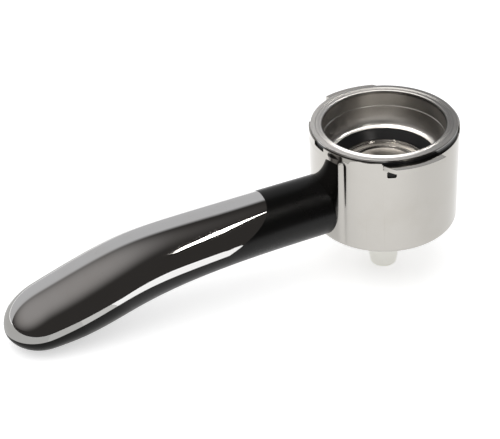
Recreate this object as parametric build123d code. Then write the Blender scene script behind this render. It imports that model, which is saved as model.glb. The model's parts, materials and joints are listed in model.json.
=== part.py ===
from build123d import *
import math
import os

# Espresso portafilter with a spring-loaded crema valve in the floor of its cup.
# Millimetres. The origin is the centre of the outlet's lower end, which stands on
# the surface. +Z runs up the head's axis, and the handle points along -X.

# ---- head: heights above the surface, and radii about the head's axis ----
rim_height = 81.5
flange_radius = 35.0
flange_thickness = 1.0
cup_radius = 29.5
cup_sheet = 0.6
bowl_top_height = rim_height - 8.5
bowl_bottom_height = rim_height - 18.9
bowl_bottom_radius = 25.0

shell_bottom_height = 29.6
shell_top_radius = 35.8
shell_bottom_radius = 35.6
shell_bore_radius = 33.5
shell_floor = 2.0
shell_edge_height = rim_height - 3.3
shell_edge_wall = 0.75
bottom_edge_round = 2.6
lip_gap = 0.2

lug_radius = 40.0
lug_thickness = 2.3
lug_top_height = rim_height - 2.2
lug_start_angle = 242.0
lug_end_angle = 288.0
lug_lead_in_angle = 9.0
gap_end_angle = 329.0
slot_start_angle = 178.0
slot_end_angle = 191.0
window_angle = 248.5
window_height = rim_height - 7.3
window_width = 4.2
window_depth = 3.4

# ---- inside of the head ----
fit_gap = 0.1
carrier_top_height = rim_height - 2.0
carrier_flange_height = rim_height - 4.0
carrier_bore_radius = 30.7
seat_height = 57.0
seat_top_height = 62.5
seat_bore_radius = 21.5
seat_bore_height = 58.9
plate_radius = 21.15
plate_under_height = seat_height - 0.3
plate_sheet = 1.0
plate_bead_radius = 16.0
chamber_radius = 18.5
guide_height = 44.5
guide_thickness = 3.0
guide_hub_radius = 5.5
guide_hub_bottom = 40.5
guide_hub_top = 48.5
guide_screw_circle = 16.2
guide_screw_radius = 1.2
guide_screw_turns = (60, 180, 300)
pin_radius = 2.5
pin_clearance = 0.05
pin_bottom_height = 38.0
pin_flange_radius = 6.0
pin_flange_bottom = 55.1
clip_groove_radius = 1.9
clip_thickness = 0.8
spring_radius = 4.6
spring_wire_radius = 0.45
spring_turns = 4
carrier_floor_top = 36.0

# ---- outlet ----
outlet_root_radius = 10.8
outlet_tip_radius = 6.8
outlet_tip_round = 1.4
outlet_bore_radius = 3.5
outlet_thread_radius = 6.4
gasket_thickness = 0.6
insert_radius = 9.4

# ---- handle: distances are measured from the head's axis along -X ----
neck_height = 45.0
neck_bore_radius = 11.5
spigot_start = 31.4
spigot_end = 46.0
bulkhead_start = 60.0
bulkhead_end = 65.0
handle_length = 194.1
tip_round_length = 17.1
handle_wall = 2.8
cover_wall = 2.4
section_spacing = 9.0
# distance from the axis, centre height, half height, half width
handle_sections = (
    (28.0, 45.2, 14.8, 14.9),
    (58.0, 44.5, 14.9, 15.1),
    (82.0, 43.9, 14.8, 16.1),
    (106.0, 42.4, 15.7, 16.7),
    (132.0, 38.4, 17.3, 17.8),
    (158.0, 31.3, 17.3, 18.3),
    (177.0, 27.2, 14.8, 17.2),
)
tip_centre_height = 23.9
tip_half_height = 12.2
tip_half_width = 15.5
# the line where the cover meets the core, as distance and height
parting_points = (
    (64.4, 59.0),
    (66.4, 54.6),
    (71.5, 49.6),
    (80.5, 45.2),
    (96.0, 42.2),
    (118.0, 39.4),
    (141.0, 34.0),
    (163.0, 27.6),
    (184.0, 23.6),
    (200.0, 20.4),
)
above_handle = 70.0

# ---- fasteners ----
stud_radius = 3.0
stud_start = 21.0
stud_end = 73.0
tie_insert_radius = 4.2
washer_radius = 7.0
washer_thickness = 1.5
nut_width = 10.0
nut_thickness = 5.0
cover_screw_distances = (108.0, 158.0)
cover_screw_radius = 1.6
cover_screw_head_radius = 3.0
cover_screw_length = 13.0


def polar(radius, degrees):
    angle = math.radians(degrees)
    return (radius * math.cos(angle), radius * math.sin(angle))


def rod(radius, bottom, top):
    """A solid cylinder on the head's axis between two heights."""
    return Pos(0, 0, (bottom + top) / 2) * Cylinder(radius, top - bottom)


def ring(inner_radius, outer_radius, bottom, top):
    return rod(outer_radius, bottom, top) - rod(inner_radius, bottom - 1, top + 1)


def bar(radius, start, end, height=neck_height):
    """A solid cylinder along the handle between two distances from the axis."""
    return Pos(-(start + end) / 2, 0, height) * Rot(0, 90, 0) * Cylinder(radius, end - start)


def ring_sector(inner_radius, outer_radius, bottom, top, start_angle, end_angle):
    section = Plane.XZ * Pos((inner_radius + outer_radius) / 2, (bottom + top) / 2) * Rectangle(
        outer_radius - inner_radius, top - bottom
    )
    return Rot(0, 0, start_angle) * revolve(section, Axis.Z, end_angle - start_angle)


def turned(points):
    """Revolve a closed outline of (radius, height) points about the head's axis."""
    return revolve(Plane.XZ * make_face(Polyline(*points, close=True)), Axis.Z)


def lug(turn):
    """One bayonet lug, with a slanted lead-in at the end that enters first."""
    bottom = lug_top_height - lug_thickness
    body = ring_sector(
        shell_top_radius - 1, lug_radius, bottom, lug_top_height, lug_start_angle, lug_end_angle
    )
    waste = Polygon(
        polar(shell_top_radius, lug_start_angle - 0.5),
        polar(lug_radius + 6, lug_start_angle - 0.5),
        polar(lug_radius, lug_start_angle + lug_lead_in_angle),
        align=None,
    )
    body -= Pos(0, 0, bottom - 1) * extrude(waste, lug_thickness + 2)
    return Rot(0, 0, turn) * body


def window(turn, start_radius, end_radius, shrink=0.0):
    """The solid that fills one snap window, from one radius to another."""
    plane = Plane(
        origin=(*polar(start_radius, window_angle + turn), window_height),
        x_dir=(*polar(1, window_angle + turn + 90), 0),
        z_dir=(*polar(1, window_angle + turn), 0),
    )
    outline = RectangleRounded(
        window_width - 2 * shrink, window_depth - 2 * shrink, window_depth / 2 - shrink - 0.05
    )
    return extrude(plane * outline, end_radius - start_radius)


def shell_envelope():
    """The head's outer form, closed at both ends."""
    top = rim_height - flange_thickness - lip_gap
    height = top - shell_bottom_height
    form = Pos(0, 0, shell_bottom_height + height / 2) * Cone(
        shell_bottom_radius, shell_top_radius, height
    )
    return fillet(form.edges().group_by(Axis.Z)[0], bottom_edge_round)


def housing_shell():
    body = shell_envelope()
    for turn in (0, 180):
        body += lug(turn)
    body -= rod(shell_bore_radius, shell_bottom_height + shell_floor, rim_height)
    body -= rod(shell_top_radius - shell_edge_wall, carrier_flange_height - fit_gap, rim_height)
    body -= rod(outlet_thread_radius + 0.2, 0, rim_height)
    body -= bar(neck_bore_radius, spigot_start - 3, spigot_end)
    for turn in (0, 180):
        body -= ring_sector(
            shell_bore_radius - 1,
            shell_top_radius + 1,
            shell_edge_height,
            rim_height,
            lug_end_angle + turn,
            gap_end_angle + turn,
        )
        body -= ring_sector(
            shell_bore_radius - 1,
            shell_top_radius + 1,
            shell_edge_height,
            rim_height,
            slot_start_angle + turn,
            slot_end_angle + turn,
        )
        body -= ring_sector(
            shell_bore_radius - 1,
            shell_top_radius + 0.02,
            lug_top_height - 0.4,
            rim_height,
            lug_start_angle + turn,
            lug_end_angle + turn,
        )
        body -= window(turn, shell_bore_radius - 2, shell_top_radius + 1)
    return body


def carrier_body():
    body = rod(shell_bore_radius - fit_gap, shell_bottom_height + shell_floor, carrier_flange_height)
    flange_outer = shell_top_radius - shell_edge_wall - fit_gap
    body += rod(flange_outer, carrier_flange_height, carrier_top_height)
    body -= rod(carrier_bore_radius, seat_height, rim_height)
    body -= rod(seat_bore_radius + 0.5, seat_height - 3, seat_height + 1)
    body -= rod(chamber_radius, guide_height, seat_height)
    body -= rod(chamber_radius - 4.5, carrier_floor_top, seat_height)
    body -= rod(insert_radius, 0, seat_height)
    body -= bar(neck_bore_radius, spigot_start, spigot_end)
    body -= bar(tie_insert_radius, spigot_start - 10.5, spigot_end)
    body -= carrier_coring()
    for turn in (0, 180):
        body += window(turn, shell_bore_radius - 1, shell_top_radius - 0.5, fit_gap)
    for screw_turn in guide_screw_turns:
        x, y = polar(guide_screw_circle, screw_turn)
        body -= Pos(x, y, guide_height - 3) * Cylinder(guide_screw_radius, 6)
    return body


def carrier_coring():
    """The moulded hollow between the carrier's two walls, with its ribs left out."""
    bottom = shell_bottom_height + shell_floor
    hollow = ring(22.0, 31.0, bottom - 1, seat_height - 6)
    for rib in range(8):
        hollow -= Rot(0, 0, rib * 45 + 22.5) * Pos(26.5, 0, bottom) * Box(12, 2.4, 60)
    hollow -= Pos(-26, 0, bottom) * Box(22, 2 * neck_bore_radius + 5, 60)
    return hollow


def basket_cup():
    top = rim_height
    under = rim_height - flange_thickness
    bead = cup_radius + 1.1
    step = 0.35
    bowl_radius = cup_radius - step
    sheet = cup_sheet
    inner_bowl = ThreePointArc(
        (bowl_radius, bowl_top_height),
        (bowl_radius - 0.75, bowl_top_height - 5.6),
        (bowl_bottom_radius, bowl_bottom_height + 0.3),
    )
    outer_bowl = ThreePointArc(
        (bowl_bottom_radius + sheet, bowl_bottom_height),
        (bowl_radius + sheet - 0.75, bowl_top_height - 5.9),
        (bowl_radius + sheet, bowl_top_height - 0.4),
    )
    edges = [
        Line((flange_radius, under), (flange_radius, top)),
        Line((flange_radius, top), (bead + 1.8, top)),
        Line((bead + 1.8, top), (bead + 1.4, top - 0.4)),
        Line((bead + 1.4, top - 0.4), (bead + 0.7, top - 0.3)),
        ThreePointArc((bead + 0.7, top - 0.3), (bead - 0.1, top), (cup_radius, top - 1.2)),
        Line((cup_radius, top - 1.2), (cup_radius, bowl_top_height + 0.3)),
        Line((cup_radius, bowl_top_height + 0.3), (bowl_radius, bowl_top_height)),
        inner_bowl,
        Line((bowl_bottom_radius, bowl_bottom_height + 0.3), (bowl_bottom_radius, bowl_bottom_height)),
        Line((bowl_bottom_radius, bowl_bottom_height), (bowl_bottom_radius + sheet, bowl_bottom_height)),
        outer_bowl,
        Line((bowl_radius + sheet, bowl_top_height - 0.4), (cup_radius + sheet, bowl_top_height)),
        Line((cup_radius + sheet, bowl_top_height), (cup_radius + sheet, under)),
        Line((cup_radius + sheet, under), (flange_radius, under)),
    ]
    return revolve(Plane.XZ * make_face(edges), Axis.Z)


def cup_gasket():
    outer = shell_top_radius - shell_edge_wall - fit_gap
    return ring(carrier_bore_radius, outer, carrier_top_height, rim_height - flange_thickness)


def seat_ring():
    return turned(
        (
            (seat_bore_radius, seat_bore_height),
            (bowl_bottom_radius + 0.2, seat_top_height),
            (carrier_bore_radius - fit_gap, seat_top_height),
            (carrier_bore_radius - fit_gap, seat_height),
            (seat_bore_radius + 0.9, seat_height),
            (seat_bore_radius, seat_height + 0.7),
        )
    )


def valve_plate():
    under = plate_under_height
    face = under + plate_sheet
    return turned(
        (
            (0, under),
            (plate_bead_radius - 1.6, under),
            (plate_bead_radius - 0.8, under + 0.5),
            (plate_bead_radius + 0.8, under + 0.5),
            (plate_bead_radius + 1.6, under - 0.2),
            (plate_radius, under - 0.2),
            (plate_radius, face + 0.9),
            (plate_radius - 0.9, face + 0.9),
            (plate_radius - 1.4, face + 0.1),
            (plate_bead_radius + 1.4, face),
            (plate_bead_radius + 0.5, face + 0.7),
            (plate_bead_radius - 0.5, face + 0.7),
            (plate_bead_radius - 1.3, face),
            (0, face + 0.3),
        )
    )


def valve_pin():
    clip_top = guide_hub_bottom - 0.3
    pin = rod(pin_radius, pin_bottom_height, plate_under_height)
    pin += rod(pin_flange_radius, pin_flange_bottom, plate_under_height)
    pin -= ring(clip_groove_radius, pin_radius + 1, clip_top - clip_thickness, clip_top)
    return chamfer(pin.edges().group_by(Axis.Z)[0], 0.5)


def valve_clip():
    clip_top = guide_hub_bottom - 0.3
    clip = ring(clip_groove_radius, 4.4, clip_top - clip_thickness, clip_top)
    return clip - Pos(3, 0, clip_top) * Box(6, 2.6, 4)


def valve_spring():
    wire = spring_wire_radius
    free_height = pin_flange_bottom - guide_hub_top
    rise = free_height - 2 * wire
    path = Helix(pitch=rise / spring_turns, height=rise, radius=spring_radius)
    section = Plane(origin=path @ 0, z_dir=path % 0) * Circle(wire * 0.97)
    return Pos(0, 0, guide_hub_top + wire) * sweep(section, path)


def valve_guide():
    body = rod(chamber_radius - fit_gap, guide_height, guide_height + guide_thickness)
    body += rod(guide_hub_radius, guide_hub_bottom, guide_hub_top)
    body -= rod(pin_radius + pin_clearance, 0, rim_height)
    for hole in range(6):
        x, y = polar(9.8, hole * 60)
        body -= Pos(x, y, guide_height) * Cylinder(2.6, 20)
    for screw_turn in guide_screw_turns:
        x, y = polar(guide_screw_circle, screw_turn)
        body -= Pos(x, y, guide_height) * Cylinder(guide_screw_radius + 0.1, 20)
    return body


def pan_screw(shank_radius, head_radius, head_height, length):
    """A screw that points down, with the underside of its head at the origin."""
    head = Pos(0, 0, head_height / 2) * Cylinder(head_radius, head_height)
    head = fillet(head.edges().group_by(Axis.Z)[-1], head_height * 0.45)
    for turn in (0, 90):
        head -= Rot(0, 0, turn) * Pos(0, 0, head_height) * Box(head_radius * 1.3, 0.6, head_height)
    return head + Pos(0, 0, -length / 2) * Cylinder(shank_radius, length)


def guide_screws():
    top = guide_height + guide_thickness
    screw = pan_screw(guide_screw_radius, 2.1, 1.5, guide_thickness + 6)
    places = [polar(guide_screw_circle, turn) for turn in guide_screw_turns]
    return [Pos(x, y, top) * screw for x, y in places]


def outlet_spout():
    root = shell_bottom_height - gasket_thickness
    body = Pos(0, 0, root / 2) * Cone(outlet_tip_radius, outlet_root_radius, root)
    body = fillet(body.edges().group_by(Axis.Z)[0], outlet_tip_round)
    body += rod(outlet_thread_radius, root, carrier_floor_top)
    return body - rod(outlet_bore_radius, -1, carrier_floor_top + 1)


def spout_gasket():
    return ring(
        outlet_thread_radius + fit_gap,
        outlet_root_radius - 0.5,
        shell_bottom_height - gasket_thickness,
        shell_bottom_height,
    )


def spout_insert():
    bottom = shell_bottom_height + shell_floor
    return ring(outlet_thread_radius + fit_gap, insert_radius, bottom, carrier_floor_top)


def handle_section(distance, centre, half_height, half_width):
    plane = Plane(origin=(-distance, 0, centre), x_dir=(0, 1, 0), z_dir=(-1, 0, 0))
    return plane * Ellipse(half_width, half_height)


def section_at(distance):
    """The handle's section at a distance, on smooth curves through the given ones."""
    rows = handle_sections
    span = max(i for i, row in enumerate(rows[:-1]) if row[0] <= distance)
    near, far = rows[span], rows[span + 1]
    before, after = rows[max(span - 1, 0)], rows[min(span + 2, len(rows) - 1)]
    width = far[0] - near[0]
    share = (distance - near[0]) / width
    values = [distance]
    for low, start, end, high in zip(before[1:], near[1:], far[1:], after[1:]):
        slope_in = (end - low) / (far[0] - before[0]) * width
        slope_out = (high - start) / (after[0] - near[0]) * width
        values.append(
            start * (1 + 2 * share) * (1 - share) ** 2
            + end * (3 - 2 * share) * share**2
            + slope_in * share * (1 - share) ** 2
            - slope_out * (1 - share) * share**2
        )
    return tuple(values)


def tip_sections(wall):
    """Sections that round off the handle's end like a quarter of an ellipse."""
    start = handle_length - tip_round_length
    sections = []
    for along in (0.42, 0.70, 0.88, 0.97, 0.995):
        scale = math.sqrt(1 - along**2)
        centre = handle_sections[-1][1] + (tip_centre_height - handle_sections[-1][1]) * along
        half_height = handle_sections[-1][2] + (tip_half_height - handle_sections[-1][2]) * along
        half_width = handle_sections[-1][3] + (tip_half_width - handle_sections[-1][3]) * along
        distance = start + (tip_round_length - wall) * along
        sections.append(
            (distance, centre, (half_height - wall) * scale, (half_width - wall) * scale)
        )
    return sections


def handle_loft(start, wall):
    """The handle's form from a distance to the tip, drawn in by a wall's thickness."""
    end = handle_sections[-1][0]
    steps = round((end - start) / section_spacing)
    rows = []
    for step in range(steps + 1):
        distance, centre, half_height, half_width = section_at(start + (end - start) * step / steps)
        rows.append((distance, centre, half_height - wall, half_width - wall))
    return loft([handle_section(*row) for row in [*rows, *tip_sections(wall)]])


def above_parting():
    """A block that holds everything above the line where cover meets core."""
    line = Spline(*[(-distance, height) for distance, height in parting_points])
    start = line @ 0
    end = line @ 1
    edges = [
        line,
        Line(end, (end.X, above_handle)),
        Line((end.X, above_handle), (start.X, above_handle)),
        Line((start.X, above_handle), start),
    ]
    return extrude(Plane.XZ * make_face(edges), 30, both=True)


def cover_screw_column(distance, radius, bottom, top):
    return Pos(-distance, 0, (bottom + top) / 2) * Cylinder(radius, top - bottom)


def cover_screw_seat(distance):
    """The height at which a cover screw's head sits, inside the core's column."""
    _, centre, half_height, _ = section_at(distance)
    return centre - half_height + 3.4


def handle_core(form, upper):
    lower = form - upper
    body = lower - handle_loft(bulkhead_end, handle_wall)
    for distance in cover_screw_distances:
        column = cover_screw_column(distance, 5.0, 0, cover_screw_seat(distance) + 5.0)
        body += column & lower
    for distance in cover_screw_distances:
        seat = cover_screw_seat(distance)
        body -= cover_screw_column(distance, cover_screw_head_radius + 0.3, -5, seat)
        body -= cover_screw_column(distance, cover_screw_radius + 0.1, seat - 1, seat + 20)
    body -= bar(neck_bore_radius, spigot_start - 10, bulkhead_start)
    body -= bar(stud_radius + 0.2, bulkhead_start - 1, bulkhead_end + 1)
    body -= rod(shell_bottom_radius, 0, shell_bottom_height + bottom_edge_round)
    return body - shell_envelope()


def grip_cover(form, upper):
    shape = form & upper
    body = shape - handle_loft(bulkhead_end, cover_wall)
    for distance in cover_screw_distances:
        bottom = cover_screw_seat(distance) + 5.0
        column = cover_screw_column(distance, 4.0, bottom, above_handle)
        body += column & form
        body -= cover_screw_column(distance, cover_screw_radius, bottom - 1, bottom + 9)
    return body


def cover_screws():
    screw = pan_screw(cover_screw_radius, cover_screw_head_radius, 1.8, cover_screw_length)
    up = Rot(180, 0, 0) * screw
    return [Pos(-distance, 0, cover_screw_seat(distance)) * up for distance in cover_screw_distances]


def neck_spigot():
    body = bar(neck_bore_radius - fit_gap, spigot_start, spigot_end)
    body = chamfer(body.edges().group_by(Axis.X)[0], 1.0)
    return body - bar(stud_radius + 0.2, spigot_start - 1, spigot_end + 1)


def tie_insert():
    insert = bar(tie_insert_radius, spigot_start - 10.5, spigot_start)
    return insert - bar(stud_radius, spigot_start - 12, spigot_start + 1)


def tie_stud():
    return chamfer(bar(stud_radius, stud_start, stud_end).edges(), 0.4)


def tie_washer():
    washer = bar(washer_radius, bulkhead_end, bulkhead_end + washer_thickness)
    return washer - bar(stud_radius + 0.2, bulkhead_end - 1, bulkhead_end + 4)


def tie_nut():
    start = bulkhead_end + washer_thickness
    hexagon = RegularPolygon(nut_width / 2, 6, major_radius=False)
    plane = Plane(origin=(-start, 0, neck_height), x_dir=(0, 1, 0), z_dir=(-1, 0, 0))
    nut = extrude(plane * hexagon, nut_thickness)
    return nut - bar(stud_radius, start - 1, start + nut_thickness + 1)


def build():
    form = handle_loft(handle_sections[0][0], 0)
    upper = above_parting()
    nodes = {
        "housing_shell": housing_shell(),
        "carrier_body": carrier_body(),
        "basket_cup": basket_cup(),
        "cup_gasket": cup_gasket(),
        "seat_ring": seat_ring(),
        "valve_plate": valve_plate(),
        "valve_pin": valve_pin(),
        "valve_clip": valve_clip(),
        "valve_spring": valve_spring(),
        "valve_guide": valve_guide(),
        "guide_screws": guide_screws(),
        "outlet_spout": outlet_spout(),
        "spout_gasket": spout_gasket(),
        "spout_insert": spout_insert(),
        "handle_core": handle_core(form, upper),
        "grip_cover": grip_cover(form, upper),
        "cover_screws": cover_screws(),
        "neck_spigot": neck_spigot(),
        "tie_insert": tie_insert(),
        "tie_stud": tie_stud(),
        "tie_washer": tie_washer(),
        "tie_nut": tie_nut(),
    }
    os.makedirs("parts", exist_ok=True)
    for name, shape in nodes.items():
        solids = []
        for piece in shape if isinstance(shape, list) else [shape]:
            solids += piece.solids()
        export_step(Compound(children=solids), f"parts/{name}.step")


build()
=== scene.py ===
import json
import math
import bpy
from mathutils import Matrix, Vector


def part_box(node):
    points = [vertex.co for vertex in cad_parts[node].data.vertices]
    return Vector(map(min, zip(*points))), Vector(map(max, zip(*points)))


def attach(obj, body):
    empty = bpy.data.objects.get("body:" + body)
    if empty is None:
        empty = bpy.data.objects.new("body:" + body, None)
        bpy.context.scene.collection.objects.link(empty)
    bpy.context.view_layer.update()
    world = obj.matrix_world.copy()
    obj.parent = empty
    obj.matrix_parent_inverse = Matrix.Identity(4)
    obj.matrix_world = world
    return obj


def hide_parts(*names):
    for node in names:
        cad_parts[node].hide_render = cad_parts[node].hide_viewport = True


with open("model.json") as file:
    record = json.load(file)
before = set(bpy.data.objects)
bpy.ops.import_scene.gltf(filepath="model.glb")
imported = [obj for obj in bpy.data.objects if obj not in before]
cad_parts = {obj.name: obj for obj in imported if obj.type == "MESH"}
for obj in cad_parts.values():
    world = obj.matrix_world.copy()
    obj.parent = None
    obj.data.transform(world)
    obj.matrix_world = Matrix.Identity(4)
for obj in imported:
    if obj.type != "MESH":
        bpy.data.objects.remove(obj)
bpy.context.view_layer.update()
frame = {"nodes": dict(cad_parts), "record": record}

nodes = frame["nodes"]
mm = 0.001

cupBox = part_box("basket_cup")
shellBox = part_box("housing_shell")
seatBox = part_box("seat_ring")
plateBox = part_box("valve_plate")
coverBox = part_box("grip_cover")
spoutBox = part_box("outlet_spout")
rimHeight = cupBox[1][2]


cameraSetup = {
    "place": (-0.2605, -0.4989, 0.4161),
    "azimuth": -20.8,
    "elevation": 34.65,
    "roll": -3.6,
    "lens": 98.64,
}
studio = {
    "floorTilt": math.radians(4.1),  # the part leans on its spout and the belly of its handle
    "floorTouch": -5 * mm,
    "floorSize": 8.0,
    "backdropTurn": math.radians(69.2),  # the backdrop stands behind the part
    "backdropFoot": math.radians(55),
    "backdropHead": math.radians(68),
    "backdropTone": (0.63, 0.63, 0.64),
    "roomTone": (0.039, 0.036, 0.034),
    "leftTone": (0.46, 0.44, 0.43),
    "leftWay": (-0.60, -0.10, 0.79),
    "leftReach": (0.55, 1.0),
    "leftShare": 0.8,
    "fillTone": (0.80, 0.80, 0.80),
    "paperPaintedLight": (0.50, 0.30),  # painted light: the paper glows, more on the left, which washes out the shadows on it
    "paperPaintedLightFade": (-0.05, 0.09),
    "handleTableEdge": 0.125,
    "headTableEdge": 0.170,
    "tableEdgeBend": (-0.09, -0.02),
    "darkReach": 6,
    "darkDepth": 8,
    "darkLift": 0.4 * mm,
    "cardLift": 0.3 * mm,
    "cardStart": 0.02,
    "cardSlant": 0.03,
    "sideCardTone": (0.58, 0.58, 0.57),
    "sideCardEdge": -0.205,
    "sideCardEnd": -0.5,
    "farLeft": -0.6,
    "greyCards": (
        ("grey_card_far", -0.6, -0.15, 0.58),
        ("grey_card_middle", -0.15, -0.125, 0.66),
        ("grey_card_near", -0.125, -0.10, 0.80),
    ),
    "stripDistance": 0.9,
    "stripPlace": (-0.09, -0.012, 0.053),
    # turn and height, in degrees, of the strip lamp's corners as the cover sees them
    "stripCorners": (
        (-46, 63), (-61, 58), (-67, 53.5), (-72, 47), (-76, 40), (-78, 34),
        (-76.5, 35), (-73, 41), (-68, 48), (-62, 54.5), (-56, 59),
    ),
    "stripTone": (1.0, 0.97, 0.92),
    "stripStrength": 14,
    "softboxPlace": (-0.3, -0.3, 1.7),
    "softboxSize": 1.6,
    "softboxPower": 9,
    "lampAim": (-0.06, 0, 0.03),
}


def makeCamera(setup):
    a = math.radians(setup["azimuth"])
    e = math.radians(setup["elevation"])
    r = math.radians(setup["roll"])
    back = Vector((math.sin(a) * math.cos(e), -math.cos(a) * math.cos(e), math.sin(e)))
    right = Vector((math.cos(a), math.sin(a), 0))
    up = back.cross(right)
    turnedRight = math.cos(r) * right + math.sin(r) * up
    turnedUp = math.cos(r) * up - math.sin(r) * right
    data = bpy.data.cameras.new("camera")
    data.lens = setup["lens"]
    data.sensor_width = 36
    data.clip_start = 0.01
    data.clip_end = 30
    camera = bpy.data.objects.new("camera", data)
    bpy.context.scene.collection.objects.link(camera)
    axes = Matrix((turnedRight, turnedUp, back)).transposed()
    camera.matrix_world = Matrix.Translation(setup["place"]) @ axes.to_4x4()
    bpy.context.scene.camera = camera


makeCamera(cameraSetup)
print("camera placed")


class Signal:
    # a node socket that adds Math nodes when Python adds, multiplies or raises it

    def __init__(self, graph, socket):
        self.graph = graph
        self.socket = socket

    def maths(self, operation, first, second):
        return self.graph.add("ShaderNodeMath", {"operation": operation}, {0: first, 1: second})

    def __add__(self, other):
        return self.maths("ADD", self, other)

    def __radd__(self, other):
        return self.maths("ADD", other, self)

    def __mul__(self, other):
        return self.maths("MULTIPLY", self, other)

    def __pow__(self, other):
        return self.maths("POWER", self, other)


class Graph:
    def __init__(self, tree):
        self.tree = tree

    def add(self, kind, settings=None, values=None, output=0):
        node = self.tree.nodes.new(kind)
        for key, value in (settings or {}).items():
            setattr(node, key, value)
        for key, value in (values or {}).items():
            if isinstance(value, Signal):
                self.tree.links.new(value.socket, node.inputs[key])
            else:
                node.inputs[key].default_value = value
        return Signal(self, node.outputs[output])

    def feed(self, node, values):
        for key, value in values.items():
            if isinstance(value, Signal):
                self.tree.links.new(value.socket, node.inputs[key])
            else:
                node.inputs[key].default_value = value

    def place(self):
        return self.add("ShaderNodeTexCoord", output=3)

    def noise(self, vector, scale, detail=3.0, roughness=0.5):
        values = {"Vector": vector, "Scale": scale, "Detail": detail, "Roughness": roughness}
        return self.add("ShaderNodeTexNoise", None, values)

    def step(self, value, low, high, start=0.0, end=1.0):
        values = {"Value": value, "From Min": low, "From Max": high, "To Min": start, "To Max": end}
        return self.add("ShaderNodeMapRange", {"interpolation_type": "SMOOTHSTEP"}, values)

    def blend(self, factor, first, second):
        values = {0: factor, 6: (*first, 1) if isinstance(first, tuple) else first}
        values[7] = (*second, 1) if isinstance(second, tuple) else second
        return self.add("ShaderNodeMix", {"data_type": "RGBA"}, values, output=2)

    def stretched(self, vector, scales):
        return self.add("ShaderNodeMapping", None, {"Vector": vector, "Scale": scales})

    def turned(self, vector, spread):
        # radius and height as a vector, so that a pattern on it runs in circles
        parts = self.tree.nodes.new("ShaderNodeSeparateXYZ")
        self.tree.links.new(vector.socket, parts.inputs[0])
        x, y, z = (Signal(self, parts.outputs[i]) for i in range(3))
        radius = (x * x + y * y) ** 0.5
        return self.add("ShaderNodeCombineXYZ", None, {0: radius * spread, 1: z * spread})

    def bump(self, height, depth):
        return self.add("ShaderNodeBump", None, {"Height": height, "Distance": depth, "Strength": 1.0})


def newMaterial(name):
    material = bpy.data.materials.new(name)
    material.use_nodes = True
    tree = material.node_tree
    return material, Graph(tree), tree.nodes["Principled BSDF"]


def makeWorld(setup):
    world = bpy.data.worlds.new("studio")
    bpy.context.scene.world = world
    world.use_nodes = True
    graph = Graph(world.node_tree)
    background = world.node_tree.nodes["Background"]
    direction = graph.add("ShaderNodeTexCoord", output=0)
    turned = graph.add(
        "ShaderNodeVectorRotate",
        {"rotation_type": "Z_AXIS"},
        {"Vector": direction, "Angle": -setup["backdropTurn"]},
    )
    parts = world.node_tree.nodes.new("ShaderNodeSeparateXYZ")
    world.node_tree.links.new(turned.socket, parts.inputs[0])
    away = Signal(graph, parts.outputs[0])
    up = graph.add("ShaderNodeMath", {"operation": "ABSOLUTE"}, {0: Signal(graph, parts.outputs[2])})
    angle = graph.add("ShaderNodeMath", {"operation": "ARCTAN2"}, {0: up, 1: away})
    wall = graph.step(angle, setup["backdropFoot"], setup["backdropHead"], 1.0, 0.0)
    tone = graph.blend(wall, setup["roomTone"], setup["backdropTone"])
    left = graph.add("ShaderNodeVectorMath", {"operation": "DOT_PRODUCT"},
                     {0: direction, 1: setup["leftWay"]}, output=1)
    glow = graph.step(left, *setup["leftReach"])
    tone = graph.blend(glow * setup["leftShare"], tone, setup["leftTone"])
    soft = graph.add("ShaderNodeLightPath", output=2)
    tone = graph.blend(soft, tone, setup["fillTone"])
    seen = graph.add("ShaderNodeLightPath", output=0)
    tone = graph.blend(seen, tone, (1.0, 1.0, 1.0))
    graph.feed(background, {"Color": tone, "Strength": 1.0})
    bpy.context.scene.view_settings.view_transform = "Standard"


def makeFloor(setup):
    bpy.ops.object.select_all(action="DESELECT")
    tilt = setup["floorTilt"]
    bpy.ops.mesh.primitive_plane_add(
        size=setup["floorSize"], location=(setup["floorTouch"], 0, -0.0001), rotation=(0, tilt, 0)
    )
    floor = bpy.context.object
    floor.name = "floor"
    material, graph, shader = newMaterial("pale_paper")
    place = graph.place()
    grain = graph.noise(place, 900)
    parts = material.node_tree.nodes.new("ShaderNodeSeparateXYZ")
    material.node_tree.links.new(place.socket, parts.inputs[0])
    left, right = setup["paperPaintedLight"]
    paintedLightFade = graph.step(Signal(graph, parts.outputs[0]), *setup["paperPaintedLightFade"])
    # painted light: the floor's emission makes it glow, brighter on the left, so its shadows fade out
    graph.feed(shader, {
        "Base Color": graph.blend(grain, (0.88, 0.88, 0.88), (0.92, 0.92, 0.92)),
        "Emission Color": graph.blend(paintedLightFade, (left, left, left), (right, right, right)),
        "Emission Strength": 1.0,
        "Roughness": 0.9,
        "Specular IOR Level": 0.1,
    })
    floor.data.materials.append(material)


def makeCard(name, corners, tone, strength):
    # a card that only mirrors see
    mesh = bpy.data.meshes.new(name)
    mesh.from_pydata(corners, [], [tuple(range(len(corners)))])
    card = bpy.data.objects.new(name, mesh)
    bpy.context.scene.collection.objects.link(card)
    material = bpy.data.materials.new(name)
    material.use_nodes = True
    tree = material.node_tree
    tree.nodes.clear()
    graph = Graph(tree)
    glow = graph.add("ShaderNodeEmission", None, {"Color": (*tone, 1), "Strength": strength})
    out = tree.nodes.new("ShaderNodeOutputMaterial")
    tree.links.new(glow.socket, out.inputs[0])
    mesh.materials.append(material)
    card.visible_camera = False
    card.visible_diffuse = False
    card.visible_shadow = False
    card.visible_transmission = False
    card.visible_volume_scatter = False


def makeLight(name, place, size, power, mirrored=False, tone=(1, 1, 1)):
    data = bpy.data.lights.new(name, "AREA")
    data.energy = power
    data.size = size
    data.color = tone
    light = bpy.data.objects.new(name, data)
    bpy.context.scene.collection.objects.link(light)
    light.location = place
    aim = Vector(studio["lampAim"]) - Vector(place)
    light.rotation_euler = aim.to_track_quat("-Z", "Y").to_euler()
    light.visible_glossy = mirrored
    return light


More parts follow.
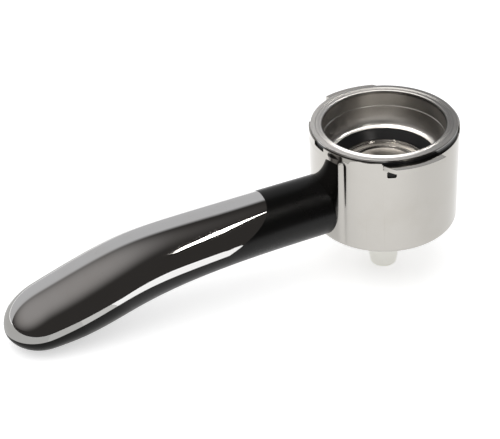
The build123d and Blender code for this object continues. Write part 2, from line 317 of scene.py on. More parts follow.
def floorPoint(setup, along, toward, lift):
    # a point on the tilted floor: along the view's right, and toward the viewer
    a = math.radians(cameraSetup["azimuth"])
    x = along * math.cos(a) + toward * math.sin(a)
    y = along * math.sin(a) - toward * math.cos(a)
    return (x, y, -(x - setup["floorTouch"]) * math.tan(setup["floorTilt"]) + lift)


def lampCorners(setup):
    corners = []
    for turn, height in setup["stripCorners"]:
        t, h = math.radians(turn), math.radians(height)
        ray = Vector((math.cos(t) * math.cos(h), math.sin(t) * math.cos(h), math.sin(h)))
        corners.append(Vector(setup["stripPlace"]) + setup["stripDistance"] * ray)
    return corners


makeWorld(studio)
makeFloor(studio)
makeCard(
    "dark_floor_card",
    [
        floorPoint(studio, -studio["darkReach"], studio["handleTableEdge"], studio["darkLift"]),
        floorPoint(studio, studio["tableEdgeBend"][0], studio["handleTableEdge"], studio["darkLift"]),
        floorPoint(studio, studio["tableEdgeBend"][1], studio["headTableEdge"], studio["darkLift"]),
        floorPoint(studio, studio["darkReach"], studio["headTableEdge"], studio["darkLift"]),
        floorPoint(studio, studio["darkReach"], studio["darkDepth"], studio["darkLift"]),
        floorPoint(studio, -studio["darkReach"], studio["darkDepth"], studio["darkLift"]),
    ],
    studio["roomTone"],
    1.0,
)
for name, left, right, tone in studio["greyCards"]:  # the table dims away from the head
    corners = [
        floorPoint(studio, left - studio["cardSlant"], studio["cardStart"], studio["cardLift"]),
        floorPoint(studio, right - studio["cardSlant"], studio["cardStart"], studio["cardLift"]),
        floorPoint(studio, right, studio["handleTableEdge"], studio["cardLift"]),
        floorPoint(studio, left, studio["handleTableEdge"], studio["cardLift"]),
    ]
    makeCard(name, corners, (tone, tone, tone * 0.98), 1.0)
makeCard(
    "grey_side_card",
    [
        floorPoint(studio, studio["farLeft"], studio["sideCardEnd"], studio["cardLift"]),
        floorPoint(studio, studio["sideCardEdge"], studio["sideCardEnd"], studio["cardLift"]),
        floorPoint(studio, studio["sideCardEdge"], studio["cardStart"], studio["cardLift"]),
        floorPoint(studio, studio["farLeft"], studio["cardStart"], studio["cardLift"]),
    ],
    studio["sideCardTone"],
    1.0,
)
makeCard("strip_lamp", lampCorners(studio), studio["stripTone"], studio["stripStrength"])
makeLight("top_softbox", studio["softboxPlace"], studio["softboxSize"], studio["softboxPower"])
print("studio ready")


def makeChrome(name, tone, warmth):
    material, graph, shader = newMaterial(name)
    place = graph.place()
    smudge = graph.noise(place, 38, 4, 0.6)
    haze = graph.step(smudge, 0.48, 0.75)
    scratch = graph.noise(graph.stretched(place, (900, 900, 26)), 1.0, 2)
    fine = graph.step(scratch, 0.64, 0.72)
    waves = graph.noise(place, 22, 1)
    worn = tuple(channel * 0.93 * warm for channel, warm in zip(tone, warmth))
    graph.feed(shader, {
        "Metallic": 1.0,
        "Base Color": graph.blend(haze * 0.6 + fine * 0.3, tone, worn),
        "Roughness": 0.022 + haze * 0.03 + fine * 0.05,
        "Normal": graph.bump(waves, 0.00004),
    })
    return material


flange = {
    "nearShadeShare": 0.72,  # painted shade: share of the steel's tone kept on the flange beside the handle
    "farShadeShare": 0.30,  # painted shade: the same on the opposite side, darker still
    "reach": 32 * mm,
    "foot": rimHeight - 2.2 * mm,
    "head": rimHeight - 1.2 * mm,
}


def makeSatinSteel(name, tone, sheen, marks, markDepth):
    material, graph, shader = newMaterial(name)
    place = graph.place()
    rings = graph.noise(graph.turned(place, marks), 1.0, 2)
    cloud = graph.noise(place, 60, 4, 0.6)
    drawn = graph.noise(graph.turned(place, marks * 0.12), 1.0, 2)
    stain = graph.step(cloud, 0.42, 0.7)
    darker = tuple(channel * 0.90 for channel in tone)
    parts = material.node_tree.nodes.new("ShaderNodeSeparateXYZ")
    material.node_tree.links.new(place.socket, parts.inputs[0])
    across, height = Signal(graph, parts.outputs[0]), Signal(graph, parts.outputs[2])
    # painted shade: the flange is darkened below the bowl's tone, most of all away from the handle
    away = graph.step(across, -flange["reach"], flange["reach"])
    nearFlangeShaded = tuple(channel * flange["nearShadeShare"] for channel in tone)
    farFlangeShaded = tuple(channel * flange["farShadeShare"] for channel in tone)
    # painted shade: this mask picks out the flange, where the darker tone is painted
    flangeShadeMask = graph.step(height, flange["foot"], flange["head"])
    steel = graph.blend(stain * 0.5 + drawn * 0.4, tone, darker)
    graph.feed(shader, {
        "Metallic": 1.0,
        "Base Color": graph.blend(flangeShadeMask, steel, graph.blend(away, nearFlangeShaded, farFlangeShaded)),
        "Roughness": sheen + stain * 0.03 + rings * 0.06,
        "Normal": graph.bump(rings, markDepth),
    })
    return material


def makeRubber(name, tone, sheen):
    material, graph, shader = newMaterial(name)
    place = graph.place()
    rings = graph.noise(graph.turned(place, 2600), 1.0, 2)
    dust = graph.step(graph.noise(place, 420, 5, 0.7), 0.6, 0.8)
    graph.feed(shader, {
        "Base Color": graph.blend(dust * 0.35, tone, (0.06, 0.058, 0.055)),
        "Roughness": sheen + dust * 0.2,
        "Normal": graph.bump(rings, 0.00001),
    })
    return material


def makeMoulding(name, tone, sheen, grain, grainDepth, gloss=0.5):
    material, graph, shader = newMaterial(name)
    place = graph.place()
    pits = graph.noise(place, grain, 3, 0.6)
    cloud = graph.noise(place, 45, 4, 0.6)
    rubbed = graph.step(cloud, 0.5, 0.78)
    lighter = tuple(channel * 1.35 for channel in tone)
    graph.feed(shader, {
        "Base Color": graph.blend(rubbed * 0.7, tone, lighter),
        "Roughness": sheen + rubbed * -0.05 + pits * 0.05,
        "Specular IOR Level": gloss,
        "Normal": graph.bump(pits, grainDepth),
    })
    return material


def makeTurnedMetal(name, tone, sheen, axis="Z"):
    material, graph, shader = newMaterial(name)
    place = graph.place()
    scales = (200, 200, 5200) if axis == "Z" else (5200, 200, 200)
    grooves = graph.noise(graph.stretched(place, scales), 1.0, 2)
    cloud = graph.step(graph.noise(place, 150, 4), 0.4, 0.7)
    darker = tuple(channel * 0.75 for channel in tone)
    graph.feed(shader, {
        "Metallic": 1.0,
        "Base Color": graph.blend(cloud * 0.6, tone, darker),
        "Roughness": sheen + cloud * 0.12,
        "Normal": graph.bump(grooves, 0.000015),
    })
    return material


finishes = {
    # painted shade: the head shell's chrome is set darker than real chrome, to offset the glowing floor that
    # it mirrors
    "chrome_shell": makeChrome("shell_chrome_painted_dark", (0.455, 0.440, 0.413), (1.0, 0.99, 0.97)),
    "chrome_spout": makeChrome("spout_chrome", (0.74, 0.735, 0.69), (1.0, 0.99, 0.97)),
    "chrome_cover": makeChrome("cover_chrome", (0.66, 0.655, 0.65), (1.0, 0.98, 0.96)),
    "satin_steel": makeSatinSteel("satin_steel", (0.60, 0.585, 0.565), 0.26, 3600, 0.000012),
    "turned_disc": makeSatinSteel("turned_disc_steel", (0.44, 0.42, 0.39), 0.13, 2600, 0.000016),
    "turned_steel": makeTurnedMetal("turned_steel", (0.56, 0.56, 0.55), 0.25),
    "spring_wire": makeTurnedMetal("spring_wire", (0.5, 0.5, 0.5), 0.3),
    "brass_insert": makeTurnedMetal("turned_brass", (0.72, 0.52, 0.24), 0.28, "X"),
    "black_rubber": makeRubber("black_rubber", (0.010, 0.010, 0.011), 0.30),
    "black_moulding": makeMoulding("black_moulding", (0.0050, 0.0048, 0.0046), 0.42, 2600, 0.00002, 0.3),
    "black_grip": makeMoulding("black_grip", (0.0032, 0.0031, 0.0029), 0.26, 3800, 0.000008, 0.2),
    "natural_plastic": makeMoulding("natural_acetal", (0.72, 0.70, 0.64), 0.4, 1800, 0.00001),
}


def wear(piece, finish):
    piece.data.materials.clear()
    piece.data.materials.append(finishes[finish])


for part in frame["record"]["subparts"]:
    wear(nodes[part["node"]], part["material_slot"])
print("materials ready")


def startEditing(piece):
    bpy.ops.object.select_all(action="DESELECT")
    piece.select_set(True)
    bpy.context.view_layer.objects.active = piece
    bpy.ops.object.mode_set(mode="EDIT")
    bpy.ops.mesh.select_all(action="DESELECT")
    bpy.ops.object.mode_set(mode="OBJECT")


def pick(piece, faceTest=None, edgeTest=None):
    # select faces or edges by their place, in edit mode
    bpy.ops.object.mode_set(mode="EDIT")
    bpy.ops.mesh.select_mode(type="FACE" if faceTest else "EDGE")
    bpy.ops.mesh.select_all(action="DESELECT")
    bpy.ops.object.mode_set(mode="OBJECT")
    mesh = piece.data
    for item in mesh.polygons if faceTest else mesh.edges:
        if faceTest:
            item.select = faceTest(item.center)
        else:
            item.select = edgeTest(*(mesh.vertices[i].co for i in item.vertices))
    bpy.ops.object.mode_set(mode="EDIT")


def turnProfile(name, rows, columns=240, close=False):
    # a circle drawn out ring by ring; rows are radius and height
    bpy.ops.object.select_all(action="DESELECT")
    radius, height = rows[0]
    bpy.ops.mesh.primitive_circle_add(vertices=columns, radius=radius, location=(0, 0, height))
    piece = bpy.context.object
    piece.name = name
    bpy.ops.object.transform_apply(location=True, rotation=True, scale=True)
    bpy.ops.object.mode_set(mode="EDIT")
    bpy.ops.mesh.select_mode(type="VERT")
    bpy.ops.mesh.select_all(action="SELECT")
    for nextRadius, nextHeight in rows[1:]:
        grow = nextRadius / radius
        bpy.ops.mesh.extrude_edges_move(TRANSFORM_OT_translate={"value": (0, 0, nextHeight - height)})
        bpy.ops.transform.resize(value=(grow, grow, 1), center_override=(0, 0, nextHeight))
        radius, height = nextRadius, nextHeight
    if radius < 0.02 * mm:
        bpy.ops.mesh.merge(type="CENTER")
    bpy.ops.mesh.select_all(action="SELECT")
    bpy.ops.mesh.remove_doubles(threshold=0.002 * mm)
    bpy.ops.mesh.normals_make_consistent(inside=False)
    bpy.ops.object.mode_set(mode="OBJECT")
    return piece


def arcRows(centre, radius, start, end, steps):
    # rows along an arc, angles in degrees from the outward direction
    rows = []
    for step in range(steps + 1):
        angle = math.radians(start + (end - start) * step / steps)
        rows.append((centre[0] + radius * math.cos(angle), centre[1] + radius * math.sin(angle)))
    return rows


def bowlRows(top, bottom, bulge, steps):
    # rows on a curve from top to bottom that bulges outwards
    rows = []
    for step in range(steps + 1):
        share = step / steps
        radius = top[0] + (bottom[0] - top[0]) * share**bulge
        rows.append((radius, top[1] + (bottom[1] - top[1]) * (1 - (1 - share) ** bulge)))
    return rows


def applyModifier(piece, kind, settings):
    bpy.ops.object.select_all(action="DESELECT")
    piece.select_set(True)
    bpy.context.view_layer.objects.active = piece
    modifier = piece.modifiers.new(kind.lower(), kind)
    for key, value in settings.items():
        setattr(modifier, key, value)
    bpy.ops.object.modifier_apply(modifier=modifier.name)


def thicken(piece, wall):
    applyModifier(piece, "SOLIDIFY", {"thickness": wall, "offset": -1, "use_even_offset": False})


def finishEdges(piece, width, segments=3, angle=32):
    if width:
        applyModifier(piece, "BEVEL", {
            "width": width, "segments": segments, "limit_method": "ANGLE",
            "angle_limit": math.radians(angle), "use_clamp_overlap": True,
        })
    bpy.ops.object.select_all(action="DESELECT")
    piece.select_set(True)
    bpy.context.view_layer.objects.active = piece
    bpy.ops.object.shade_smooth_by_angle(angle=math.radians(35))
    applyModifier(piece, "WEIGHTED_NORMAL", {"keep_sharp": True})


def standFor(piece, node, body, finish):
    wear(piece, finish)
    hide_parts(node)
    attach(piece, body)


shell = {
    "columns": 360,
    "topRadius": shellBox[1][0],
    "bottomRadius": shellBox[1][0] - 0.2 * mm,
    "bottom": shellBox[0][2],
    "top": rimHeight - 1.2 * mm,
    "boreRadius": 33.5 * mm,
    "edgeRadius": 34.6 * mm,
    "ledge": rimHeight - 4.1 * mm,
    "floor": 2.0 * mm,
    "bottomRound": 2.6 * mm,
    "outletRadius": 6.6 * mm,
    "lugRadius": shellBox[1][1],
    "lugTop": rimHeight - 2.2 * mm,
    "lugBottom": rimHeight - 4.5 * mm,
    "lugStart": 242,
    "lugEnd": 288,
    "leadIn": 9,
    "gapBottom": rimHeight - 3.3 * mm,
    "gapEnd": 329,
    "slotStart": 178,
    "slotEnd": 191,
    "windowStart": 245,
    "windowEnd": 252,
    "windowBottom": rimHeight - 9.0 * mm,
    "windowTop": rimHeight - 5.6 * mm,
    "windowCorner": 0.5 * mm,
    "saddleTurns": (26.5, 31.3, 33.5),
    "saddleHeights": (0.2 * mm, -0.25 * mm),
}


def turnOf(point):
    return math.degrees(math.atan2(point[1], point[0])) % 360


def inTurn(point, start, end):
    # both halves of the head are alike, so half a turn apart counts too
    turn = turnOf(point)
    return start < turn < end or start < (turn + 180) % 360 < end


def shellRows(s):
    lower, upper = s["windowBottom"], s["windowTop"]
    heights = (lower, lower + s["windowCorner"], upper - s["windowCorner"], upper)
    rows = [(s["outletRadius"], s["bottom"]), (s["bottomRadius"] * 0.6, s["bottom"])]
    centre = (s["bottomRadius"] - s["bottomRound"], s["bottom"] + s["bottomRound"])
    rows += arcRows(centre, s["bottomRound"], -90, 0, 10)
    wallStart = rows[-1][1]
    for height in (wallStart + 14 * mm, wallStart + 28 * mm, *heights, s["lugBottom"], s["gapBottom"],
                   s["lugTop"], s["top"]):
        share = (height - wallStart) / (s["top"] - wallStart)
        rows.append((s["bottomRadius"] + (s["topRadius"] - s["bottomRadius"]) * share, height))
    for height in (s["top"], s["lugTop"], s["gapBottom"], s["ledge"]):
        rows.append((s["edgeRadius"], height))
    for height in (s["ledge"], *reversed(heights), s["bottom"] + s["floor"]):
        rows.append((s["boreRadius"], height))
    rows.append((s["outletRadius"], s["bottom"] + s["floor"]))
    rows.append(rows[0])
    return rows


def cutWindows(piece, s):
    def inWindow(centre):
        level = s["windowBottom"] < centre[2] < s["windowTop"]
        outside = math.hypot(centre[0], centre[1]) > s["boreRadius"] - 0.5 * mm
        return level and outside and inTurn(centre, s["windowStart"], s["windowEnd"])

    pick(piece, faceTest=inWindow)
    bpy.ops.mesh.delete(type="FACE")
    bpy.ops.object.mode_set(mode="OBJECT")
    for vertex in piece.data.vertices:  # the corners are drawn in
        place = vertex.co
        turn = turnOf(place) % 180
        atEnd = [t for t in (s["windowStart"] - 180, s["windowEnd"] - 180) if abs(turn - t) < 0.1]
        atLevel = [z for z in (s["windowBottom"], s["windowTop"]) if abs(place[2] - z) < 0.01 * mm]
        if atEnd and atLevel and math.hypot(place[0], place[1]) > s["boreRadius"] - 0.5 * mm:
            middle = (s["windowStart"] + s["windowEnd"]) / 2 - 180
            swing = math.radians(0.45 if middle > atEnd[0] else -0.45)
            x, y = place[0], place[1]
            place[0] = x * math.cos(swing) - y * math.sin(swing)
            place[1] = x * math.sin(swing) + y * math.cos(swing)
            lift = s["windowCorner"] * 0.45
            place[2] += lift if atLevel[0] == s["windowBottom"] else -lift
    for start in (s["windowStart"], s["windowStart"] - 180):
        end = start + s["windowEnd"] - s["windowStart"]

        def rim(a, b):
            middle = (a + b) / 2
            level = s["windowBottom"] - 0.1 * mm < middle[2] < s["windowTop"] + 0.1 * mm
            return level and start - 0.2 < turnOf(middle) < end + 0.2

        pick(piece, edgeTest=rim)
        bpy.ops.mesh.select_non_manifold(extend=False, use_wire=False, use_boundary=True,
                                         use_multi_face=False, use_non_contiguous=False,
                                         use_verts=False)
        keepOnly(piece, rim)
        bpy.ops.mesh.bridge_edge_loops()
    bpy.ops.object.mode_set(mode="OBJECT")


def keepOnly(piece, edgeTest):
    # of the selected edges, keep those that pass a test
    bpy.ops.object.mode_set(mode="OBJECT")
    mesh = piece.data
    for edge in mesh.edges:
        edge.select = edge.select and edgeTest(*(mesh.vertices[i].co for i in edge.vertices))
    chosen = {i for edge in mesh.edges if edge.select for i in edge.vertices}
    for vertex in mesh.vertices:
        vertex.select = vertex.index in chosen
    for face in mesh.polygons:
        face.select = False
    bpy.ops.object.mode_set(mode="EDIT")


def raiseLugs(piece, s):
    def onWall(centre):
        level = s["lugBottom"] < centre[2] < s["lugTop"]
        outside = math.hypot(centre[0], centre[1]) > s["edgeRadius"] + 0.3 * mm
        return level and outside and inTurn(centre, s["lugStart"], s["lugEnd"])

    pick(piece, faceTest=onWall)
    bpy.ops.mesh.extrude_region_move()
    grow = s["lugRadius"] / s["topRadius"]
    bpy.ops.transform.resize(value=(grow, grow, 1), center_override=(0, 0, 0))
    bpy.ops.object.mode_set(mode="OBJECT")
    for vertex in piece.data.vertices:  # the slanted lead-in
        radius = math.hypot(vertex.co[0], vertex.co[1])
        turn = turnOf(vertex.co) % 180 + 180
        along = (turn - s["lugStart"]) / s["leadIn"]
        if radius > s["topRadius"] + mm and -0.02 < along < 1:
            wanted = s["topRadius"] + 0.15 * mm + (s["lugRadius"] - s["topRadius"]) * max(along, 0)
            vertex.co[0] *= min(wanted, radius) / radius
            vertex.co[1] *= min(wanted, radius) / radius


def openGaps(piece, s):
    def inGap(centre):
        if math.hypot(centre[0], centre[1]) < s["edgeRadius"] - 0.2 * mm:
            return False
        overLug = centre[2] > s["lugTop"] + 0.01 * mm and inTurn(centre, s["lugStart"], s["lugEnd"])
        beside = centre[2] > s["gapBottom"] and math.hypot(centre[0], centre[1]) < s["topRadius"] + mm and (
            inTurn(centre, s["lugEnd"], s["gapEnd"]) or inTurn(centre, s["slotStart"], s["slotEnd"])
        )
        return overLug or beside

    pick(piece, faceTest=inGap)
    bpy.ops.mesh.delete(type="FACE")
    sectors = [(s["lugStart"], s["lugEnd"], s["lugTop"]), (s["lugEnd"], s["gapEnd"], s["gapBottom"]),
               (s["slotStart"], s["slotEnd"], s["gapBottom"])]
    for start, end, level in sectors:
        for half in (0, 180):
            def arc(a, b):
                flat = abs(a[2] - level) < 0.01 * mm and abs(b[2] - level) < 0.01 * mm
                turn = (turnOf((a + b) / 2) + half) % 360
                return flat and (start < turn < end or start < turn + 360 < end)

            bpy.ops.mesh.select_mode(type="EDGE")
            bpy.ops.mesh.select_non_manifold(extend=False, use_wire=False, use_boundary=True,
                                             use_multi_face=False, use_non_contiguous=False,
                                             use_verts=False)
            keepOnly(piece, arc)
            bpy.ops.mesh.bridge_edge_loops()
    bpy.ops.mesh.select_all(action="SELECT")
    bpy.ops.mesh.fill_holes(sides=0)
    bpy.ops.mesh.select_all(action="SELECT")
    bpy.ops.mesh.remove_doubles(threshold=0.002 * mm)
    bpy.ops.mesh.normals_make_consistent(inside=False)
    bpy.ops.object.mode_set(mode="OBJECT")


def shapeSaddle(piece, s):
    # a low saddle where the neck is seated, and a shallow groove along each side of it
    crown, foot, outside = s["saddleTurns"]
    high, low = s["saddleHeights"]
    for vertex in piece.data.vertices:
        radius = math.hypot(vertex.co[0], vertex.co[1])
        onWall = s["bottom"] + s["bottomRound"] - 0.01 * mm < vertex.co[2] < s["lugBottom"] - 0.1 * mm
        away = abs(turnOf(vertex.co) - 180)
        if not onWall or radius < s["bottomRadius"] - 0.05 * mm or away > outside:
            continue
        if away < crown:
            lift = high
        elif away < foot:
            lift = high + (low - high) * (away - crown) / (foot - crown)
        else:
            lift = low * (outside - away) / (outside - foot)
        vertex.co[0] *= 1 + lift / radius
        vertex.co[1] *= 1 + lift / radius


def makeShell(s):
    piece = turnProfile("head_shell", shellRows(s), s["columns"])
    cutWindows(piece, s)
    raiseLugs(piece, s)
    openGaps(piece, s)
    shapeSaddle(piece, s)
    finishEdges(piece, 0.22 * mm, 2, 40)
    standFor(piece, "housing_shell", "holder", "chrome_shell")


makeShell(shell)
print("head shell made")


cup = {
    "flangeRadius": cupBox[1][0],
    "flange": 1.0 * mm,
    "boreRadius": 29.5 * mm,
    "sheet": 0.6 * mm,
    "grooveDepth": 0.42 * mm,
    "bowlTop": rimHeight - 8.5 * mm,
    "bowlStep": 0.35 * mm,
    "bowlBottom": cupBox[0][2],
    "bowlBottomRadius": 25.0 * mm,
}


def makeCup(c):
    top = rimHeight
    bore = c["boreRadius"]
    step = bore - c["bowlStep"]
    rows = [(bore + c["sheet"], top - c["flange"]), (c["flangeRadius"], top - c["flange"])]
    rows += [(c["flangeRadius"], top - 0.15 * mm), (c["flangeRadius"] - 0.2 * mm, top)]
    rows += [(bore + 3.3 * mm, top), (bore + 2.9 * mm, top - c["grooveDepth"])]
    rows += [(bore + 1.9 * mm, top - c["grooveDepth"])]
    rows += arcRows((bore + 0.95 * mm, top - 0.95 * mm), 0.98 * mm, 62, 180, 9)
    rows += [(bore, top - 2.0 * mm), (bore, top - 5 * mm)]
    rows += [(bore, c["bowlTop"] + 0.35 * mm), (step, c["bowlTop"])]
    bowl = bowlRows((step, c["bowlTop"]), (c["bowlBottomRadius"], c["bowlBottom"] + 0.3 * mm), 2.0, 14)
    rows += bowl[1:]
    rows += [(radius + c["sheet"], height - 0.3 * mm) for radius, height in reversed(bowl)]
    rows += [(bore + c["sheet"], c["bowlTop"]), rows[0]]
    piece = turnProfile("steel_cup", rows)
    finishEdges(piece, 0.12 * mm, 2, 40)
    standFor(piece, "basket_cup", "holder", "satin_steel")


seat = {
    "boreRadius": 21.5 * mm,
    "boreHeight": seatBox[0][2] + 1.9 * mm,
    "slopeTop": 25.2 * mm,
    "outerRadius": seatBox[1][0],
    "top": seatBox[1][2],
    "bottom": seatBox[0][2],
}


def makeSeatRing(s):
    lip = 0.5 * mm
    rows = [(s["boreRadius"], s["bottom"] + 0.7 * mm), (s["boreRadius"], s["boreHeight"] - lip)]
    rows += arcRows((s["boreRadius"] + lip, s["boreHeight"] - lip), lip, 180, 125, 4)
    rows += [(s["slopeTop"] - 1.0 * mm, s["top"] - 0.75 * mm), (s["slopeTop"], s["top"])]
    rows += [(s["outerRadius"], s["top"]), (s["outerRadius"], s["bottom"])]
    rows += [(s["boreRadius"] + 0.9 * mm, s["bottom"]), (s["boreRadius"], s["bottom"] + 0.7 * mm)]
    piece = turnProfile("rubber_seat_ring", rows)
    finishEdges(piece, 0.2 * mm, 3, 30)
    standFor(piece, "seat_ring", "holder", "black_rubber")


disc = {
    "radius": plateBox[1][0],
    "under": plateBox[0][2] + 0.2 * mm,
    "sheet": 1.0 * mm,
    "beadRadius": 16.0 * mm,
    "crown": 0.3 * mm,
}


def makeDisc(d):
    face = d["under"] + d["sheet"]
    bead = d["beadRadius"]
    rows = [(0.01 * mm, d["under"]), (bead - 1.6 * mm, d["under"]), (bead - 0.8 * mm, d["under"] + 0.5 * mm)]
    rows += [(bead + 0.8 * mm, d["under"] + 0.5 * mm), (bead + 1.6 * mm, d["under"] - 0.2 * mm)]
    rows += [(d["radius"], d["under"] - 0.2 * mm), (d["radius"], face + 0.5 * mm)]
    rows += arcRows((d["radius"] - 0.45 * mm, face + 0.45 * mm), 0.45 * mm, 10, 170, 8)
    rows += [(d["radius"] - 1.3 * mm, face + 0.05 * mm), (bead + 1.3 * mm, face)]
    rows += arcRows((bead, face - 0.25 * mm), 0.95 * mm, 50, 130, 8)
    rows += [(bead - 1.3 * mm, face), (bead * 0.5, face + d["crown"] * 0.7), (0.01 * mm, face + d["crown"])]
    piece = turnProfile("sprung_disc", rows)
    startEditing(piece)
    pick(piece, edgeTest=lambda a, b: max(math.hypot(*a[:2]), math.hypot(*b[:2])) < 0.05 * mm)
    bpy.ops.mesh.remove_doubles(threshold=0.03 * mm)
    bpy.ops.object.mode_set(mode="OBJECT")
    finishEdges(piece, 0.1 * mm, 2, 30)
    standFor(piece, "valve_plate", "valve", "turned_disc")


bowlLamps = {
    "bowl_sky": {"turn": 100, "height": 78, "distance": 0.9, "size": 0.9, "power": 15, "lit": ("steel_cup",)},
    "bowl_glint": {
        "turn": 100, "height": 75, "distance": 0.7, "size": 0.05, "power": 0.35, "lit": ("sprung_disc",),
    },
    "bowl_side_glint": {
        "turn": 10, "height": 54, "distance": 0.7, "size": 0.10, "power": 0.9, "lit": ("steel_cup",),
    },
}
bowlLampTone = (1.0, 0.98, 0.95)


def makeBowlLamp(name, setup):
    # a lamp over the bowl that lights only the named pieces
    t, h = math.radians(setup["turn"]), math.radians(setup["height"])
    centre = Vector((0, 0, plateBox[1][2]))
    way = Vector((math.cos(t) * math.cos(h), math.sin(t) * math.cos(h), math.sin(h)))
    place = centre + setup["distance"] * way
    lamp = makeLight(name, place, setup["size"], setup["power"], True, bowlLampTone)
    lamp.rotation_euler = (centre - place).to_track_quat("-Z", "Y").to_euler()
    group = bpy.data.collections.new(name + "_pieces")
    for piece in setup["lit"]:
        group.objects.link(bpy.data.objects[piece])
    lamp.light_linking.receiver_collection = group


makeCup(cup)
makeSeatRing(seat)
makeDisc(disc)
for name, lampSetup in bowlLamps.items():
    makeBowlLamp(name, lampSetup)
print("cup, seat ring and disc made")


spout = {
    "tipRadius": 6.8 * mm,
    "rootRadius": spoutBox[1][0],
    "tipRound": 1.4 * mm,
    "boreRadius": 3.5 * mm,
    "threadRadius": 6.4 * mm,
    "root": shellBox[0][2] - 0.6 * mm,
    "top": spoutBox[1][2],
}


def makeSpout(s):
    rows = [(s["boreRadius"], 0.6 * mm), (s["boreRadius"] + 0.6 * mm, 0)]
    rows += arcRows((s["tipRadius"] - s["tipRound"], s["tipRound"]), s["tipRound"], -90, -4, 8)
    for share in (0.33, 0.66, 1.0):
        radius = s["tipRadius"] + (s["rootRadius"] - s["tipRadius"]) * share
        rows.append((radius, s["tipRound"] + (s["root"] - s["tipRound"]) * share))
    rows += [(s["threadRadius"], s["root"]), (s["threadRadius"], s["top"]), (s["boreRadius"], s["top"])]
    rows += [rows[0]]
    piece = turnProfile("spout", rows, 160)
    finishEdges(piece, 0.25 * mm, 3, 40)
    standFor(piece, "outlet_spout", "holder", "chrome_spout")


makeSpout(spout)
print("spout made")


handle = {
    # distance from the head's axis, centre height, half height, half width, widest line's drop
    "sections": (
        (26.0, 45.2, 14.8, 14.9, 0.0),
        (58.0, 44.5, 14.9, 15.1, 0.0),
        (82.0, 43.9, 14.8, 16.1, 1.0),
        (106.0, 42.4, 15.7, 16.7, 1.4),
        (132.0, 38.4, 17.3, 17.8, 0.8),
        (158.0, 31.3, 17.3, 18.3, 1.6),
        (176.0, 27.4, 15.0, 17.3, 2.5),
        (194.1, 23.9, 12.2, 15.5, 2.4),
    ),
    "length": -coverBox[0][0] / mm,
    "capLength": 20.1,
    "capPower": 2.5,
    "noseStart": 64.4,
    "noseLength": 24.0,
    "nosePower": 3.2,
    "neckStart": 30.0,
    "coverWall": 2.4,
    "coreWall": 2.8,
    "screws": (108.0, 158.0),
    "screwHoleRadius": 3.3,
}


def curveThrough(points):
    # a natural cubic curve through (x, y) points, as a function of x
    xs = [p[0] for p in points]
    ys = [p[1] for p in points]
    count = len(xs)
    bends = [0.0] * count
    shares = [0.0] * count
    for i in range(1, count - 1):
        ratio = (xs[i] - xs[i - 1]) / (xs[i + 1] - xs[i - 1])
        lead = ratio * bends[i - 1] + 2
        bends[i] = (ratio - 1) / lead
        turn = (ys[i + 1] - ys[i]) / (xs[i + 1] - xs[i]) - (ys[i] - ys[i - 1]) / (xs[i] - xs[i - 1])
        shares[i] = (6 * turn / (xs[i + 1] - xs[i - 1]) - ratio * shares[i - 1]) / lead
    bends[-1] = 0.0
    for i in reversed(range(count - 1)):
        bends[i] = bends[i] * bends[i + 1] + shares[i]

    def value(x):
        i = max(k for k in range(count - 1) if xs[k] <= x or k == 0)
        width = xs[i + 1] - xs[i]
        a = (xs[i + 1] - x) / width
        b = 1 - a
        return a * ys[i] + b * ys[i + 1] + ((a**3 - a) * bends[i] + (b**3 - b) * bends[i + 1]) * width**2 / 6

    return value


sectionCurves = [curveThrough([(row[0], row[k]) for row in handle["sections"]]) for k in (1, 2, 3, 4)]


def handlePoint(distance, angle):
    # a point on the handle's form; the widest line lies a little below the middle
    h = handle
    centre, halfHeight, halfWidth, drop = (curve(distance) for curve in sectionCurves)
    cap = max(0.0, (distance - (h["length"] - h["capLength"])) / h["capLength"])
    shrink = math.sqrt(max(0.0, 1 - min(cap, 1.0) ** h["capPower"]))
    rise = math.sin(angle)
    reach = halfHeight + drop if rise > 0 else halfHeight - drop
    middle = centre - drop * (1 - cap**2)
    x = -distance
    y = -halfWidth * shrink * math.cos(angle)
    return (x * mm, y * mm, (middle + reach * shrink * rise) * mm)


def partingAngle(distance):
    # where the cover's edge lies on a section: over the top at the nose, then along the widest line
    share = min(max((distance - handle["noseStart"]) / handle["noseLength"], 0), 1)
    return math.radians(90) * (1 - share ** (1 / handle["nosePower"]))


def alongRows(withNeck):
    h = handle
    rows = []
    if withNeck:
        count = 16
        rows += [h["neckStart"] + (h["noseStart"] - h["neckStart"]) * i / count for i in range(count)]
    rows += [h["noseStart"] + h["noseLength"] * (i / 24) ** h["nosePower"] for i in range(24)]
    start = h["noseStart"] + h["noseLength"]
    end = h["length"] - h["capLength"]
    rows += [start + (end - start) * i / 30 for i in range(30)]
    rows += [end + h["capLength"] * math.sin(math.radians(90 * i / 20)) for i in range(21)]
    return rows


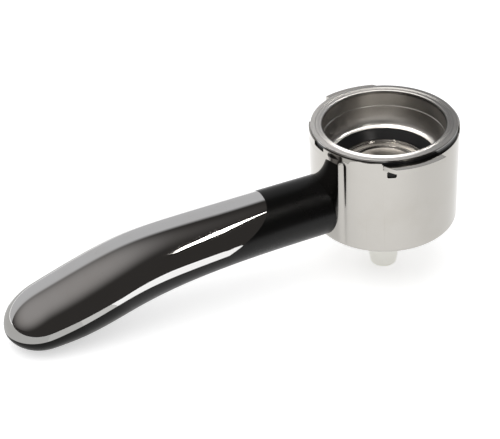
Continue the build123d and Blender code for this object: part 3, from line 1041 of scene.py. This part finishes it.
def layGrid(name, rows, columns, angleOf):
    # a flat grid laid over the handle's form
    bpy.ops.object.select_all(action="DESELECT")
    bpy.ops.mesh.primitive_grid_add(x_subdivisions=columns, y_subdivisions=len(rows) - 1, size=2)
    piece = bpy.context.object
    piece.name = name
    for vertex in piece.data.vertices:
        column = round((vertex.co[0] + 1) / 2 * columns)
        row = round((vertex.co[1] + 1) / 2 * (len(rows) - 1))
        distance = rows[row]
        vertex.co = handlePoint(distance, angleOf(distance, column / columns))
    bpy.ops.object.mode_set(mode="EDIT")
    bpy.ops.mesh.select_all(action="SELECT")
    bpy.ops.mesh.remove_doubles(threshold=0.003 * mm)
    bpy.ops.mesh.normals_make_consistent(inside=False)
    bpy.ops.object.mode_set(mode="OBJECT")
    return piece


def faceOutwards(piece, probe):
    # open sheets are turned so that the face nearest a point looks away from the handle's middle
    near = min(piece.data.polygons, key=lambda face: (face.center - Vector(probe[0])).length)
    if near.normal.dot(Vector(probe[1])) < 0:
        bpy.ops.object.select_all(action="DESELECT")
        piece.select_set(True)
        bpy.context.view_layer.objects.active = piece
        bpy.ops.object.mode_set(mode="EDIT")
        bpy.ops.mesh.select_all(action="SELECT")
        bpy.ops.mesh.flip_normals()
        bpy.ops.object.mode_set(mode="OBJECT")


def makeCover(h):
    def angleOf(distance, share):
        edge = partingAngle(distance)
        return edge + (math.pi - 2 * edge) * share

    piece = layGrid("grip_chrome_cover", alongRows(False), 56, angleOf)
    faceOutwards(piece, (handlePoint(120, math.pi / 2), (0, 0, 1)))
    thicken(piece, h["coverWall"] * mm)
    finishEdges(piece, 0.35 * mm, 3, 50)
    standFor(piece, "grip_cover", "holder", "chrome_cover")


def makeCore(h):
    def angleOf(distance, share):
        edge = partingAngle(distance)
        return edge - (math.pi + 2 * edge) * share

    piece = layGrid("handle_core_moulding", alongRows(True), 72, angleOf)
    faceOutwards(piece, (handlePoint(120, -math.pi / 2), (0, 0, -1)))
    thicken(piece, h["coreWall"] * mm)
    for distance in h["screws"]:
        bpy.ops.object.select_all(action="DESELECT")
        low = handlePoint(distance, -math.pi / 2)
        bpy.ops.mesh.primitive_cylinder_add(
            vertices=48, radius=h["screwHoleRadius"] * mm, depth=16 * mm, location=(low[0], 0, low[2])
        )
        cutter = bpy.context.object
        applyModifier(piece, "BOOLEAN", {"object": cutter, "operation": "DIFFERENCE", "solver": "EXACT"})
        bpy.data.objects.remove(cutter, do_unlink=True)
    finishEdges(piece, 0.25 * mm, 2, 50)
    standFor(piece, "handle_core", "holder", "black_grip")


makeCover(handle)
makeCore(handle)
print("handle made")
